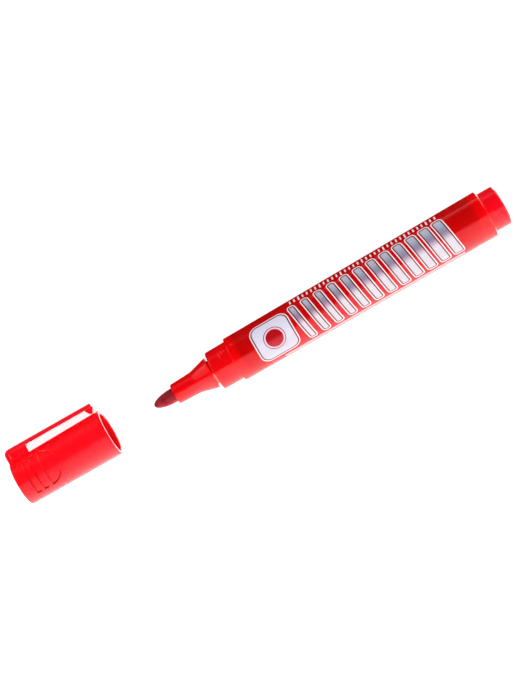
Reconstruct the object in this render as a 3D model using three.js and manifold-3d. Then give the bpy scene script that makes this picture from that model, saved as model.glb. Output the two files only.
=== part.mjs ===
// Permanent marker with a bullet nib, lying on its side with its cap pulled off ahead of the nib.
// Millimetres. The origin is the centre of the rear plug's flat end, +X runs along the axis to the nib, +Z is up.
import * as THREE from "three";
import { mergeVertices, toCreasedNormals } from "three/addons/utils/BufferGeometryUtils.js";
import Module from "manifold-3d";

const wasm = await Module();
wasm.setup();

// Fineness of round shapes
const AROUND = 48; // facets round a turned piece
const ARC_STEP = Math.PI / 6; // largest turn between two points of a rounded edge
const CREASE = Math.PI / 7; // edges sharper than this keep a hard shade
const DEPTH_PAST = 1; // how far a cutting tool runs past what it cuts

// Clearances between pieces
const PRESS_GAP = 0.1; // round a pressed-in spigot, sleeve or rod
const SKIN_GAP = 0.02; // under a film that is wrapped on
const END_GAP = 0.3; // between end faces that nearly meet
const CAP_SLIDE_GAP = 0.175; // collar to cap bore, on the radius
const SEAL_GAP = 0.2; // cone's base to the lip of the inner seal, on the radius

// Rear plug
const PLUG_DIAMETER = 13.8;
const PLUG_END_LENGTH = 6.15; // what stands out behind the barrel
const PLUG_RIM_ROUND = 0.8;
const PLUG_SPIGOT_LENGTH = 8;
const PLUG_WALL = 1.3;
const PLUG_FLOOR = 1.5;

// Barrel
const BARREL_LENGTH = 95.1;
const BARREL_REAR_DIAMETER = 16.4;
const BARREL_FRONT_DIAMETER = 15.6;
const BARREL_BORE = 13.2;
const BARREL_REAR_ROUND = 0.35;
const BARREL_FRONT_ROUND = 0.3;
const BARREL_RIB_COUNT = 6; // inner ribs that centre the reservoir and let air past
const BARREL_RIB_WIDTH = 0.8;

// Label film, lying in a shallow band of the barrel
const FILM_THICKNESS = 0.06;
const FILM_REAR_MARGIN = 3.4;
const FILM_FRONT_MARGIN = 2.75;
const FILM_SINK = 0.02; // film's face below the barrel's bare ends

// Nozzle: spigot, collar, neck, cone and nose in one moulding
const NOZZLE_SPIGOT_LENGTH = 9;
const NOZZLE_SPIGOT_WALL = 0.9;
const COLLAR_DIAMETER = 13.75;
const COLLAR_FRONT_DIAMETER = 13.6;
const COLLAR_LENGTH = 7.55;
const COLLAR_ROUND = 0.5;
const COLLAR_FRONT_WALL = 2;
const NECK_DIAMETER = 8.4;
const NECK_WIDTH = 0.85;
const CONE_BASE_DIAMETER = 11.2;
const CONE_LENGTH = 6.4;
const CONE_NOSE_ROUND = 8; // hollow curve where the cone runs into the nose
const NOSE_ROOT_DIAMETER = 7.66; // where the cone runs into it
const NOSE_DIAMETER = 7.06; // at the front edge
const NOSE_LENGTH = 8;
const NOSE_EDGE_ROUND = 0.5;
const NOSE_LIP_LENGTH = 2; // plain bore behind the front edge
const AIR_CHANNEL = 0.4; // depth of the air channels between the nib ribs
const NIB_RIB_COUNT = 6;
const NIB_RIB_WIDTH = 0.7;

// Nib
const NIB_DIAMETER = 4.88;
const NIB_LENGTH = 34;
const NIB_EXPOSED = 7.8;
const NIB_POINT_LENGTH = 7; // curved part of the bullet point
const NIB_POINT_STEPS = 8;

// Ink reservoir
const RESERVOIR_DIAMETER = 10.76;
const RESERVOIR_FILM_THICKNESS = 0.1;
const RESERVOIR_AIR_GAP = 1; // free length between the reservoir and the nozzle's front wall

// Cap
const CAP_LENGTH = 34.4;
const CAP_MOUTH_DIAMETER = 16.35;
const CAP_END_DIAMETER = 15.65;
const CAP_END_WALL = 1.2;
const CAP_END_ROUND = 0.5;
const CAP_MOUTH_ROUND = 0.15;
const CAP_LEAD_IN = 0.25; // chamfer inside the mouth
const CAP_MOUTH_BORE_DEPTH = 9; // wide bore that slides over the collar
const CAP_SEAL_BORE = 13.3; // narrower bore that holds the inner seal
const CAP_OFF_DISTANCE = 16.9; // nib point to cap mouth, as it lies

// Pocket clip, one moulding with the cap
const CLIP_WIDTH = 5.5;
const CLIP_THICKNESS = 1.4;
const CLIP_END_HEIGHT = 11.8; // outer face above the axis, at the closed end
const CLIP_TIP_HEIGHT = 11.45; // outer face above the axis, at the tip
const CLIP_TIP_SETBACK = 1.1;
const CLIP_CORNER_ROUND = 1.8;
const CLIP_INNER_ROUND = 0.6;
const CLIP_TIP_ROUND = 0.25;
const CLIP_EDGE_BEVEL = 0.2;
const CLIP_WEB_LENGTH = 7.75; // solid web from the closed end to the slot
const CLIP_WEB_WIDTH = 4.1;
const BUMP_CENTRE = 2.4; // from the mouth
const BUMP_LENGTH = 2.9;
const BUMP_TIP_LENGTH = 1;
const BUMP_SHOULDER = 0.4; // straight part below the strip
const BUMP_GAP = 0.12; // bump to the cap's side

// Thumb rest: a half-round pocket and two grooves on each side of the cap
const THUMB_DEPTH = 0.45;
const THUMB_HALF_HEIGHT = 6;
const THUMB_POCKET_EDGE = 24.2; // straight edge of the pocket, from the mouth
const THUMB_POCKET_LENGTH = 5.8;
const THUMB_POCKET_STEPS = 20;
const GROOVE_WIDTH = 1.5;
const GROOVE_PITCH = 2.7;
const GROOVE_COUNT = 2;
const GROOVE_START = 25.8;

// Inner seal
const SEAL_END_WALL = 0.9;
const SEAL_DRAFT = 0.35; // how much its bore narrows on the radius, from lip to closed end
const SEAL_LIP_ROUND = 0.3;

// Stations along the axis
const BARREL_REAR = PLUG_END_LENGTH;
const BARREL_FRONT = BARREL_REAR + BARREL_LENGTH;
const COLLAR_FRONT = BARREL_FRONT + COLLAR_LENGTH;
const CONE_BASE = COLLAR_FRONT + NECK_WIDTH;
const NOSE_BEND = CONE_BASE + CONE_LENGTH;
const NOSE_FRONT = NOSE_BEND + NOSE_LENGTH;
const NIB_POINT = NOSE_FRONT + NIB_EXPOSED;
const NIB_REAR = NIB_POINT - NIB_LENGTH;
const CAP_MOUTH = NIB_POINT + CAP_OFF_DISTANCE;
const PLUG_SPIGOT_FRONT = BARREL_REAR + PLUG_SPIGOT_LENGTH;
const SPIGOT_REAR = BARREL_FRONT - NOZZLE_SPIGOT_LENGTH;
const NOZZLE_HOLLOW_FRONT = COLLAR_FRONT - COLLAR_FRONT_WALL;
const RESERVOIR_REAR = PLUG_SPIGOT_FRONT + END_GAP;
const RESERVOIR_FRONT = NOZZLE_HOLLOW_FRONT - RESERVOIR_AIR_GAP;

// Radii that follow from a neighbour
const SPIGOT_RADIUS = BARREL_BORE / 2 - PRESS_GAP;
const NOZZLE_HOLLOW_RADIUS = SPIGOT_RADIUS - NOZZLE_SPIGOT_WALL;
const NIB_RADIUS = NIB_DIAMETER / 2;
const NIB_SEAT_RADIUS = NIB_RADIUS + PRESS_GAP;
const NIB_BORE_RADIUS = NIB_SEAT_RADIUS + AIR_CHANNEL;
const RESERVOIR_RADIUS = RESERVOIR_DIAMETER / 2;
const RESERVOIR_FILM_BORE = RESERVOIR_RADIUS + SKIN_GAP;
const RESERVOIR_FILM_RADIUS = RESERVOIR_FILM_BORE + RESERVOIR_FILM_THICKNESS;
const CAP_BORE_RADIUS = COLLAR_DIAMETER / 2 + CAP_SLIDE_GAP;
const CAP_SEAL_RADIUS = CAP_SEAL_BORE / 2;
const SEAL_RADIUS = CAP_SEAL_RADIUS - PRESS_GAP;
const SEAL_LIP_RADIUS = CONE_BASE_DIAMETER / 2 + SEAL_GAP;
const SEAL_LIP = COLLAR_LENGTH; // from the mouth, so that the lip meets the collar's front when capped

// The clip leans on the floor beside the cap and keeps the marker from rolling
const LYING_RADIUS = Math.max(BARREL_REAR_DIAMETER, CAP_MOUTH_DIAMETER) / 2;
const CLIP_REACH = Math.hypot(CLIP_END_HEIGHT, CLIP_WIDTH / 2);
const CLIP_DROP = Math.asin(LYING_RADIUS / CLIP_REACH) - Math.atan(CLIP_WIDTH / 2 / CLIP_END_HEIGHT);

// Points of an outline from its corners [along, across, round], with an arc at each corner that has a round.
function rounded(corners) {
  const points = [];
  corners.forEach(([along, across, round = 0], i) => {
    const corner = new THREE.Vector2(along, across);
    if (!round) {
      points.push(corner);
      return;
    }
    const [fromX, fromY] = corners.at(i - 1);
    const [toX, toY] = corners[(i + 1) % corners.length];
    const back = new THREE.Vector2(fromX, fromY).sub(corner).normalize();
    const on = new THREE.Vector2(toX, toY).sub(corner).normalize();
    const half = Math.acos(THREE.MathUtils.clamp(back.dot(on), -1, 1)) / 2;
    const start = corner.clone().addScaledVector(back, round / Math.tan(half));
    const end = corner.clone().addScaledVector(on, round / Math.tan(half));
    const inward = back.clone().add(on).normalize();
    const centre = corner.clone().addScaledVector(inward, round / Math.sin(half));
    const spokeA = start.sub(centre);
    const spokeB = end.sub(centre);
    const turn = Math.atan2(spokeA.cross(spokeB), spokeA.dot(spokeB));
    const steps = Math.max(2, Math.ceil(Math.abs(turn) / ARC_STEP));
    for (let k = 0; k <= steps; k += 1) {
      points.push(spokeA.clone().rotateAround(new THREE.Vector2(), (turn * k) / steps).add(centre));
    }
  });
  return points;
}

// A closed mesh as a solid for joining and cutting.
function solidOf(geometry) {
  const bare = geometry.clone();
  bare.deleteAttribute("normal");
  bare.deleteAttribute("uv");
  const merged = mergeVertices(bare, 1e-4);
  const corners = merged.index.array;
  const kept = [];
  for (let i = 0; i < corners.length; i += 3) {
    const [a, b, c] = corners.subarray(i, i + 3);
    if (a !== b && b !== c && c !== a) kept.push(a, b, c);
  }
  const vertProperties = merged.attributes.position.array;
  return new wasm.Manifold(new wasm.Mesh({ numProp: 3, vertProperties, triVerts: new Uint32Array(kept) }));
}

// Revolves corners [along X, radius, round] about the X axis. The outer side runs towards +X.
function turned(corners) {
  const points = rounded(corners).map((p) => new THREE.Vector2(Math.max(p.y, 0), p.x));
  if (points[0].x > 0) points.push(points[0].clone());
  return solidOf(new THREE.LatheGeometry(points, AROUND).rotateZ(-Math.PI / 2));
}

// Extrudes a shape drawn in the XZ plane to a width centred on that plane.
function extruded(shape, width, bevel = 0, curveSegments = 12) {
  const geometry = new THREE.ExtrudeGeometry(shape, {
    depth: width - 2 * bevel,
    bevelEnabled: bevel > 0,
    bevelThickness: bevel,
    bevelSize: bevel,
    bevelOffset: -bevel,
    bevelSegments: 1,
    curveSegments,
  });
  geometry.translate(0, 0, bevel - width / 2);
  return solidOf(geometry.rotateX(Math.PI / 2));
}

function shapeOf(corners) {
  return new THREE.Shape(rounded(corners));
}

// A straight rib along X between two radii, repeated evenly round the axis.
function ribs(count, width, from, to, inner, outer) {
  const geometry = new THREE.BoxGeometry(to - from, width, outer - inner);
  geometry.translate((from + to) / 2, 0, (inner + outer) / 2);
  const rib = solidOf(geometry);
  return Array.from({ length: count }, (_, i) => rib.rotate([(360 * i) / count, 0, 0]));
}

function joined(first, ...others) {
  return others.reduce((sum, next) => sum.add(next), first);
}

// A solid as a named mesh with hard edges only where it has creases.
function piece(name, solid, color, roughness) {
  const { numProp, vertProperties, triVerts } = solid.getMesh();
  const geometry = new THREE.BufferGeometry();
  geometry.setAttribute("position", new THREE.BufferAttribute(vertProperties, numProp));
  geometry.setIndex(new THREE.BufferAttribute(triVerts, 1));
  const material = new THREE.MeshStandardMaterial({ name, color, roughness, metalness: 0 });
  const mesh = new THREE.Mesh(toCreasedNormals(geometry, CREASE), material);
  mesh.name = name;
  return mesh;
}

function barrelRadius(x) {
  const share = (x - BARREL_REAR) / BARREL_LENGTH;
  return THREE.MathUtils.lerp(BARREL_REAR_DIAMETER, BARREL_FRONT_DIAMETER, share) / 2;
}

// The barrel: a tapered tube, open at both ends, with a shallow band for the film and ribs in its bore.
function barrel() {
  const bore = BARREL_BORE / 2;
  const bandRear = BARREL_REAR + FILM_REAR_MARGIN;
  const bandFront = BARREL_FRONT - FILM_FRONT_MARGIN;
  const bandDepth = FILM_SINK + FILM_THICKNESS + SKIN_GAP;
  const tube = turned([
    [BARREL_REAR, bore],
    [BARREL_REAR, barrelRadius(BARREL_REAR), BARREL_REAR_ROUND],
    [bandRear, barrelRadius(bandRear)],
    [bandRear, barrelRadius(bandRear) - bandDepth],
    [bandFront, barrelRadius(bandFront) - bandDepth],
    [bandFront, barrelRadius(bandFront)],
    [BARREL_FRONT, barrelRadius(BARREL_FRONT), BARREL_FRONT_ROUND],
    [BARREL_FRONT, bore],
  ]);
  const ribRear = PLUG_SPIGOT_FRONT + END_GAP;
  const ribFront = SPIGOT_REAR - END_GAP;
  const ribTop = RESERVOIR_FILM_RADIUS + PRESS_GAP;
  const ribRoot = bore + (barrelRadius(ribFront) - bandDepth - bore) / 2;
  return joined(tube, ...ribs(BARREL_RIB_COUNT, BARREL_RIB_WIDTH, ribRear, ribFront, ribTop, ribRoot));
}

// The printed film, wrapped round the barrel's band.
function labelFilm() {
  const rear = BARREL_REAR + FILM_REAR_MARGIN + SKIN_GAP;
  const front = BARREL_FRONT - FILM_FRONT_MARGIN - SKIN_GAP;
  const face = (x) => barrelRadius(x) - FILM_SINK;
  return turned([
    [rear, face(rear) - FILM_THICKNESS],
    [rear, face(rear)],
    [front, face(front)],
    [front, face(front) - FILM_THICKNESS],
  ]);
}

// The rear plug: a cup whose rim seats on the barrel's rear face and whose spigot is pressed into the bore.
function rearPlug() {
  const hollow = SPIGOT_RADIUS - PLUG_WALL;
  return turned([
    [0, 0],
    [0, PLUG_DIAMETER / 2, PLUG_RIM_ROUND],
    [BARREL_REAR, PLUG_DIAMETER / 2],
    [BARREL_REAR, SPIGOT_RADIUS],
    [PLUG_SPIGOT_FRONT, SPIGOT_RADIUS, PLUG_WALL / 3],
    [PLUG_SPIGOT_FRONT, hollow],
    [PLUG_FLOOR, hollow, PLUG_WALL / 3],
    [PLUG_FLOOR, 0],
  ]);
}

// The nozzle: spigot in the barrel, collar for the cap, neck groove, cone and nose, hollow all the way.
function nozzle() {
  const shell = turned([
    [SPIGOT_REAR, NOZZLE_HOLLOW_RADIUS],
    [SPIGOT_REAR, SPIGOT_RADIUS, NOZZLE_SPIGOT_WALL / 3],
    [BARREL_FRONT, SPIGOT_RADIUS],
    [BARREL_FRONT, COLLAR_DIAMETER / 2],
    [COLLAR_FRONT, COLLAR_FRONT_DIAMETER / 2, COLLAR_ROUND],
    [COLLAR_FRONT, NECK_DIAMETER / 2],
    [CONE_BASE, NECK_DIAMETER / 2],
    [CONE_BASE, CONE_BASE_DIAMETER / 2],
    [NOSE_BEND, NOSE_ROOT_DIAMETER / 2, CONE_NOSE_ROUND],
    [NOSE_FRONT, NOSE_DIAMETER / 2, NOSE_EDGE_ROUND],
    [NOSE_FRONT, NIB_SEAT_RADIUS],
    [NOSE_FRONT - NOSE_LIP_LENGTH, NIB_SEAT_RADIUS],
    [NOSE_FRONT - NOSE_LIP_LENGTH, NIB_BORE_RADIUS],
    [NOZZLE_HOLLOW_FRONT, NIB_BORE_RADIUS],
    [NOZZLE_HOLLOW_FRONT, NOZZLE_HOLLOW_RADIUS],
  ]);
  const ribFront = NOSE_FRONT - NOSE_LIP_LENGTH / 2;
  const ribRoot = (NIB_BORE_RADIUS + NOSE_DIAMETER / 2) / 2;
  const nibRibs = ribs(NIB_RIB_COUNT, NIB_RIB_WIDTH, NOZZLE_HOLLOW_FRONT, ribFront, NIB_SEAT_RADIUS, ribRoot);
  return joined(shell, ...nibRibs);
}

// The nib: a fibre rod with an elliptic bullet point, its tail in the reservoir.
function nib() {
  const shoulder = NIB_POINT - NIB_POINT_LENGTH;
  const point = Array.from({ length: NIB_POINT_STEPS + 1 }, (_, i) => {
    const angle = (Math.PI / 2) * (i / NIB_POINT_STEPS);
    return [shoulder + NIB_POINT_LENGTH * Math.sin(angle), NIB_RADIUS * Math.cos(angle)];
  });
  return turned([[NIB_REAR, 0], [NIB_REAR, NIB_RADIUS, NIB_RADIUS / 4], ...point]);
}

// The ink reservoir: a fibre rod with the blind hole that the nib's tail makes in it.
function inkReservoir() {
  return turned([
    [RESERVOIR_REAR, 0],
    [RESERVOIR_REAR, RESERVOIR_RADIUS],
    [RESERVOIR_FRONT, RESERVOIR_RADIUS],
    [RESERVOIR_FRONT, NIB_SEAT_RADIUS],
    [NIB_REAR - PRESS_GAP, NIB_SEAT_RADIUS],
    [NIB_REAR - PRESS_GAP, 0],
  ]);
}

// The clear film tube that holds the reservoir's fibres together.
function reservoirFilm() {
  return turned([
    [RESERVOIR_REAR, RESERVOIR_FILM_BORE],
    [RESERVOIR_REAR, RESERVOIR_FILM_RADIUS],
    [RESERVOIR_FRONT, RESERVOIR_FILM_RADIUS],
    [RESERVOIR_FRONT, RESERVOIR_FILM_BORE],
  ]);
}

// From here to the inner seal, X is measured from the cap's mouth to its closed end and the clip points along +Z.
function capRadius(x) {
  return THREE.MathUtils.lerp(CAP_MOUTH_DIAMETER, CAP_END_DIAMETER, x / CAP_LENGTH) / 2;
}

function capCup() {
  return turned([
    [0, CAP_BORE_RADIUS + CAP_LEAD_IN],
    [0, capRadius(0), CAP_MOUTH_ROUND],
    [CAP_LENGTH, capRadius(CAP_LENGTH), CAP_END_ROUND],
    [CAP_LENGTH, 0],
    [CAP_LENGTH - CAP_END_WALL, 0],
    [CAP_LENGTH - CAP_END_WALL, CAP_SEAL_RADIUS],
    [CAP_MOUTH_BORE_DEPTH, CAP_SEAL_RADIUS],
    [CAP_MOUTH_BORE_DEPTH, CAP_BORE_RADIUS],
    [CAP_LEAD_IN, CAP_BORE_RADIUS],
  ]);
}

// Height of the clip strip's outer face above the axis.
function clipHeight(x) {
  const share = (x - CLIP_TIP_SETBACK) / (CAP_LENGTH - CLIP_TIP_SETBACK);
  return THREE.MathUtils.lerp(CLIP_TIP_HEIGHT, CLIP_END_HEIGHT, share);
}

// The clip: a strip that turns down to the closed end, a narrower web behind it, and a bump near its tip.
function clip() {
  const root = (CAP_SEAL_RADIUS + capRadius(CAP_LENGTH)) / 2;
  const under = (x) => clipHeight(x) - CLIP_THICKNESS;
  const innerEnd = CAP_LENGTH - CLIP_THICKNESS;
  const strip = shapeOf([
    [CLIP_TIP_SETBACK, under(CLIP_TIP_SETBACK)],
    [innerEnd, under(innerEnd), CLIP_INNER_ROUND],
    [innerEnd, root],
    [CAP_LENGTH, root],
    [CAP_LENGTH, CLIP_END_HEIGHT, CLIP_CORNER_ROUND],
    [CLIP_TIP_SETBACK, CLIP_TIP_HEIGHT, CLIP_TIP_ROUND],
  ]);
  const webFront = CAP_LENGTH - CLIP_WEB_LENGTH;
  const webTop = clipHeight(webFront) - CLIP_THICKNESS / 2;
  const web = shapeOf([
    [webFront, root],
    [innerEnd + CLIP_THICKNESS / 2, root],
    [innerEnd + CLIP_THICKNESS / 2, webTop],
    [webFront, webTop],
  ]);
  const bumpTop = under(BUMP_CENTRE) + CLIP_THICKNESS / 2;
  const bumpShoulder = under(BUMP_CENTRE) - BUMP_SHOULDER;
  const bumpTip = capRadius(BUMP_CENTRE) + BUMP_GAP;
  const bump = shapeOf([
    [BUMP_CENTRE - BUMP_LENGTH / 2, bumpTop],
    [BUMP_CENTRE - BUMP_LENGTH / 2, bumpShoulder],
    [BUMP_CENTRE - BUMP_TIP_LENGTH / 2, bumpTip],
    [BUMP_CENTRE + BUMP_TIP_LENGTH / 2, bumpTip],
    [BUMP_CENTRE + BUMP_LENGTH / 2, bumpShoulder],
    [BUMP_CENTRE + BUMP_LENGTH / 2, bumpTop],
  ]);
  return joined(
    extruded(strip, CLIP_WIDTH, CLIP_EDGE_BEVEL),
    extruded(web, CLIP_WEB_WIDTH),
    extruded(bump, CLIP_WEB_WIDTH),
  );
}

// What the thumb rests take out of both sides of the cap: pocket and grooves, as deep as THUMB_DEPTH.
function thumbRests() {
  const pocket = new THREE.Shape();
  pocket.moveTo(THUMB_POCKET_EDGE, -THUMB_HALF_HEIGHT);
  pocket.lineTo(THUMB_POCKET_EDGE, THUMB_HALF_HEIGHT);
  pocket.absellipse(
    THUMB_POCKET_EDGE,
    0,
    THUMB_POCKET_LENGTH,
    THUMB_HALF_HEIGHT,
    Math.PI / 2,
    (3 * Math.PI) / 2,
  );
  const across = CAP_MOUTH_DIAMETER + 2 * DEPTH_PAST;
  const grooves = Array.from({ length: GROOVE_COUNT }, (_, i) => {
    const start = GROOVE_START + i * GROOVE_PITCH;
    const groove = shapeOf([
      [start, -THUMB_HALF_HEIGHT],
      [start + GROOVE_WIDTH, -THUMB_HALF_HEIGHT],
      [start + GROOVE_WIDTH, THUMB_HALF_HEIGHT],
      [start, THUMB_HALF_HEIGHT],
    ]);
    return extruded(groove, across);
  });
  const core = turned([
    [0, 0],
    [0, capRadius(0) - THUMB_DEPTH],
    [CAP_LENGTH, capRadius(CAP_LENGTH) - THUMB_DEPTH],
    [CAP_LENGTH, 0],
  ]);
  return joined(extruded(pocket, across, 0, THUMB_POCKET_STEPS), ...grooves).subtract(core);
}

function capShell() {
  return capCup().subtract(thumbRests()).add(clip());
}

// The inner seal: a thin cup pressed into the cap, whose lip closes on the cone's base.
function innerSeal() {
  const end = CAP_LENGTH - CAP_END_WALL - END_GAP;
  return turned([
    [SEAL_LIP, SEAL_LIP_RADIUS],
    [SEAL_LIP, SEAL_RADIUS, SEAL_LIP_ROUND],
    [end, SEAL_RADIUS, SEAL_LIP_ROUND],
    [end, 0],
    [end - SEAL_END_WALL, 0],
    [end - SEAL_END_WALL, SEAL_LIP_RADIUS - SEAL_DRAFT],
  ]);
}

const RED = 0xe6101a;
const PRINT_RED = 0xb4040c;

const marker = new THREE.Group();
marker.add(
  piece("barrel", barrel(), RED, 0.3),
  piece("label_film", labelFilm(), PRINT_RED, 0.2),
  piece("rear_plug", rearPlug(), RED, 0.32),
  piece("nozzle", nozzle(), RED, 0.32),
  piece("nib", nib(), 0x7d2229, 0.95),
  piece("ink_reservoir", inkReservoir(), 0xa01822, 1),
  piece("reservoir_film", reservoirFilm(), 0xe8e4e0, 0.25),
);

const cap = new THREE.Group();
cap.add(piece("cap_shell", capShell(), RED, 0.34), piece("cap_inner_seal", innerSeal(), 0xf2f0ec, 0.4));
cap.position.x = CAP_MOUTH;
cap.rotation.x = Math.PI / 2 + CLIP_DROP;

const permanentMarker = new THREE.Group();
permanentMarker.add(marker, cap);

export default permanentMarker;
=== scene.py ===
"""Permanent marker lying on a pale floor with its cap pulled off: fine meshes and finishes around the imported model.

Shapes are written in millimetres in the frame of the part: X runs from the rear plug's flat end to the nib and on
to the cap, and Z is up. Meshes are made in metres.
"""

import math

import bmesh
import bpy
from mathutils import Matrix, Vector, noise


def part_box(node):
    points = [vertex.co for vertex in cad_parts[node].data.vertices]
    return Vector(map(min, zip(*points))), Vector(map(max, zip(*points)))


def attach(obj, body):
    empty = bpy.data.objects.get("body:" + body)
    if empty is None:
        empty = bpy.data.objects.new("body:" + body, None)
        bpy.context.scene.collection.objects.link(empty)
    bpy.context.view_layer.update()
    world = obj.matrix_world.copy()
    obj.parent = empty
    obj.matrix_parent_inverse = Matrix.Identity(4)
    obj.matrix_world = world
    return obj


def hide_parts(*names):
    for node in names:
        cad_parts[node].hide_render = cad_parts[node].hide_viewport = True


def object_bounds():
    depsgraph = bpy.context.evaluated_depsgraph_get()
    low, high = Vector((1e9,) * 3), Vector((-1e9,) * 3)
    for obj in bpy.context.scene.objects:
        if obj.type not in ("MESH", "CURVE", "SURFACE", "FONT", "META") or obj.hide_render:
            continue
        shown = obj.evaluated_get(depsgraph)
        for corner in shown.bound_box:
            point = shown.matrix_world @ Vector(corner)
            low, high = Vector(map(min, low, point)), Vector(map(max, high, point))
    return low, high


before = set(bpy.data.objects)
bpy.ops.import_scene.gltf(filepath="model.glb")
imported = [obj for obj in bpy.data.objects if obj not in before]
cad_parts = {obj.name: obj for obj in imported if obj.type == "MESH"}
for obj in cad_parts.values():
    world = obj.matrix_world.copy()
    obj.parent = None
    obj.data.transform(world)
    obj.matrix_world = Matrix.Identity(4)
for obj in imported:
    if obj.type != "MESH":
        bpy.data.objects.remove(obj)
cad_low, cad_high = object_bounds()

MM = 0.001
TURN = 2 * math.pi

# Fineness of the meshes
COLUMNS = 160  # round a turned piece
ARC_STEP = math.radians(12)  # largest turn between two points of a rounded edge
SHARP = math.radians(32)  # edges sharper than this keep a hard shade
WELD = 1e-7  # metres
EDGE_STEPS = 3  # of an extruded piece's rounded long edges
FLAT_WEIGHT = 90  # how far the large faces set the shading at their corners

# Ends of the pieces along X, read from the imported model
PLUG_REAR, PLUG_SPIGOT_END = (corner.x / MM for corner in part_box("rear_plug"))
BARREL_REAR, BARREL_FRONT = (corner.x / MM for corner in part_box("barrel"))
FILM_REAR, FILM_FRONT = (corner.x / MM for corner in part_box("label_film"))
SPIGOT_REAR, NOSE_FRONT = (corner.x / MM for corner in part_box("nozzle"))
NIB_REAR, NIB_POINT = (corner.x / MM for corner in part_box("nib"))
CAP_MOUTH, CAP_END = (corner.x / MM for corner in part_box("cap_shell"))
SEAL_LIP, SEAL_END = (corner.x / MM - CAP_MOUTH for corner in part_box("cap_inner_seal"))
CAP_LENGTH = CAP_END - CAP_MOUTH

# Turned shapes, radii and lengths
BARREL_REAR_R = 8.2
BARREL_FRONT_R = 7.8
BARREL_BORE_R = 6.6
BARREL_REAR_ROUND = 0.35
BARREL_FRONT_ROUND = 0.3
BAND_DEPTH = 0.1  # band of the barrel that holds the film
BAND_CLEARANCE = 0.02
FILM_SINK = 0.02
FILM_THICKNESS = 0.06
BARREL_RIBS = 6
BARREL_RIB_WIDTH = 0.8
BARREL_RIB_TOP = 5.6
BARREL_RIB_GAP = 0.3  # to the spigots
PLUG_R = 6.9
PLUG_RIM_ROUND = 0.8
PLUG_WALL = 1.3
PLUG_FLOOR = 1.5
SPIGOT_R = 6.5
SPIGOT_ROUND = 0.3
NOZZLE_HOLLOW_R = 5.6
COLLAR_R = 6.875
COLLAR_FRONT_R = 6.8
COLLAR_LENGTH = 7.55
COLLAR_ROUND = 0.5
COLLAR_WALL = 2.0
NECK_R = 4.2
NECK_WIDTH = 0.85
CONE_BASE_R = 5.6
CONE_EDGE_ROUND = 0.2
CONE_LENGTH = 6.4
CONE_NOSE_ROUND = 8.0
NOSE_ROOT_R = 3.83
NOSE_R = 3.53
NOSE_EDGE_ROUND = 0.5
NOSE_LIP = 2.0
NIB_R = 2.44
NIB_SEAT_R = 2.54
NIB_BORE_R = 2.94
NIB_POINT_LENGTH = 7.0
NIB_POINT_RINGS = 48
NIB_ROD_RINGS = 60
FELT_SCALE = 1.6  # of the noise that presses fibres and pores into the nib
FELT_ALONG = 0.9
FELT_ROUND = 2.2
FELT_DEPTH = 0.03
CAP_MOUTH_R = 8.175
CAP_END_R = 7.825
CAP_BORE_R = 7.05
CAP_BORE_DEPTH = 9.0
CAP_SEAL_BORE_R = 6.65
CAP_END_WALL = 1.2
CAP_END_ROUND = 0.5
CAP_MOUTH_ROUND = 0.15
CAP_LEAD_IN = 0.25
SEAL_R = 6.55
SEAL_LIP_R = 5.8
SEAL_LIP_ROUND = 0.15
SEAL_DRAFT = 0.35
SEAL_WALL = 0.9
SEAL_ROUND = 0.3

# Clip, drawn with X from the cap's mouth and height from the axis
CLIP_WIDTH = 5.5
CLIP_THICKNESS = 1.4
CLIP_END_HEIGHT = 11.8
CLIP_TIP_HEIGHT = 11.45
CLIP_SETBACK = 1.1
CLIP_CORNER_ROUND = 1.8
CLIP_INNER_ROUND = 0.6
CLIP_TIP_ROUND = 0.25
CLIP_EDGE_ROUND = 0.2
WEB_LENGTH = 7.75
WEB_WIDTH = 4.1
WEB_EDGE_ROUND = 0.12
BUMP_CENTRE = 2.4
BUMP_LENGTH = 2.9
BUMP_TIP_LENGTH = 1.0
BUMP_SHOULDER = 0.4
BUMP_ROUND = 0.3
BUMP_GAP = 0.12

# Thumb rests, drawn with X from the cap's mouth
THUMB_DEPTH = 0.45
THUMB_WALL = 0.16  # run of the rest's side walls
THUMB_HALF_HEIGHT = 6.0
THUMB_EDGE = 24.2
THUMB_LENGTH = 5.8
GROOVE_WIDTH = 1.5
GROOVES = [(start, start + GROOVE_WIDTH) for start in (25.8, 28.5)]
FINE_STEP = 0.08  # grid of the cap's side round the thumb rests
FINE_MARGIN = 0.4
COARSE_ROWS = (3.0, 6.0, 9.0, 12.0, 15.0)  # of the cap's side, towards the mouth
LAST_ROW = 32.4

# The cap is rolled so that its clip leans on the floor
FLOOR = cad_low.z / MM
CLIP_DROP = math.asin(-FLOOR / math.hypot(CLIP_END_HEIGHT, CLIP_WIDTH / 2)) - math.atan(
    CLIP_WIDTH / 2 / CLIP_END_HEIGHT
)
CAP_ROLL = math.pi / 2 + CLIP_DROP

# Camera, from the photograph's perspective
FOCAL_PIXELS = 1950
FRAME_LONG_SIDE = 688
SENSOR = 36.0
DISTANCE = 641  # to the point of the axis at the frame's centre
AIM_X = 91.95
AIM_OFF_AXIS = 0.61  # towards the clip's side
ELEVATION = math.radians(66.4)
AXIS_TILT = math.radians(3.6)  # the plug end is nearer than the nib
ROLL = math.radians(30.17)

# Directions square to the axis: to the camera's side, and across it on the side away from the clip
TO_CAMERA = Vector((0, -math.cos(ELEVATION), math.sin(ELEVATION)))
AWAY = Vector((0, math.sin(ELEVATION), math.cos(ELEVATION)))


# Meshes

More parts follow.
